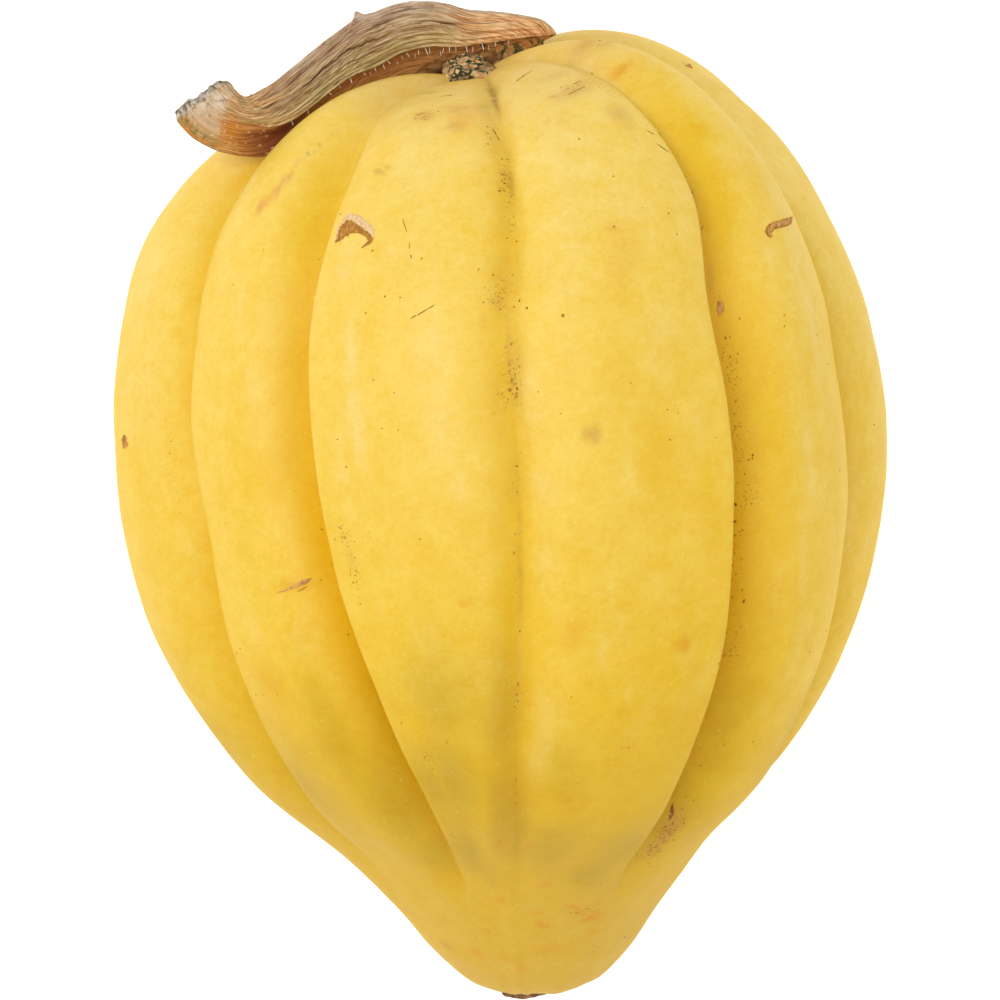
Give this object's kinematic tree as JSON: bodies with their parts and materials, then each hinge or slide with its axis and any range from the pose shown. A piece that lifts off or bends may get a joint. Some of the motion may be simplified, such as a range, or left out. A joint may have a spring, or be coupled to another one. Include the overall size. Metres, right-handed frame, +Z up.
{
  "type": "acorn squash",
  "caption": "Golden acorn squash lying on its side: a deeply ribbed, pointed fruit with a dried, bent stem across its crown.",
  "frame": {"origin": "under the middle of the whole object's box, on the surface that it rests on", "axes": "+Z up from the resting surface, +Y along the fruit towards the stem end, +X across it"},
  "size_m": [0.117, 0.153, 0.1148],
  "materials": {
    "rind": "waxy satin rind, pale yellow on the ribs and golden in the grooves",
    "dry_stem": "dry ridged fibre, grey-tan outside and brown beneath",
    "dry_scar": "dry corky scar"
  },
  "bodies": {
    "root": {"fruit": "rind", "stem": "dry_stem", "blossom_scar": "dry_scar"}
  },
  "joints": []
}
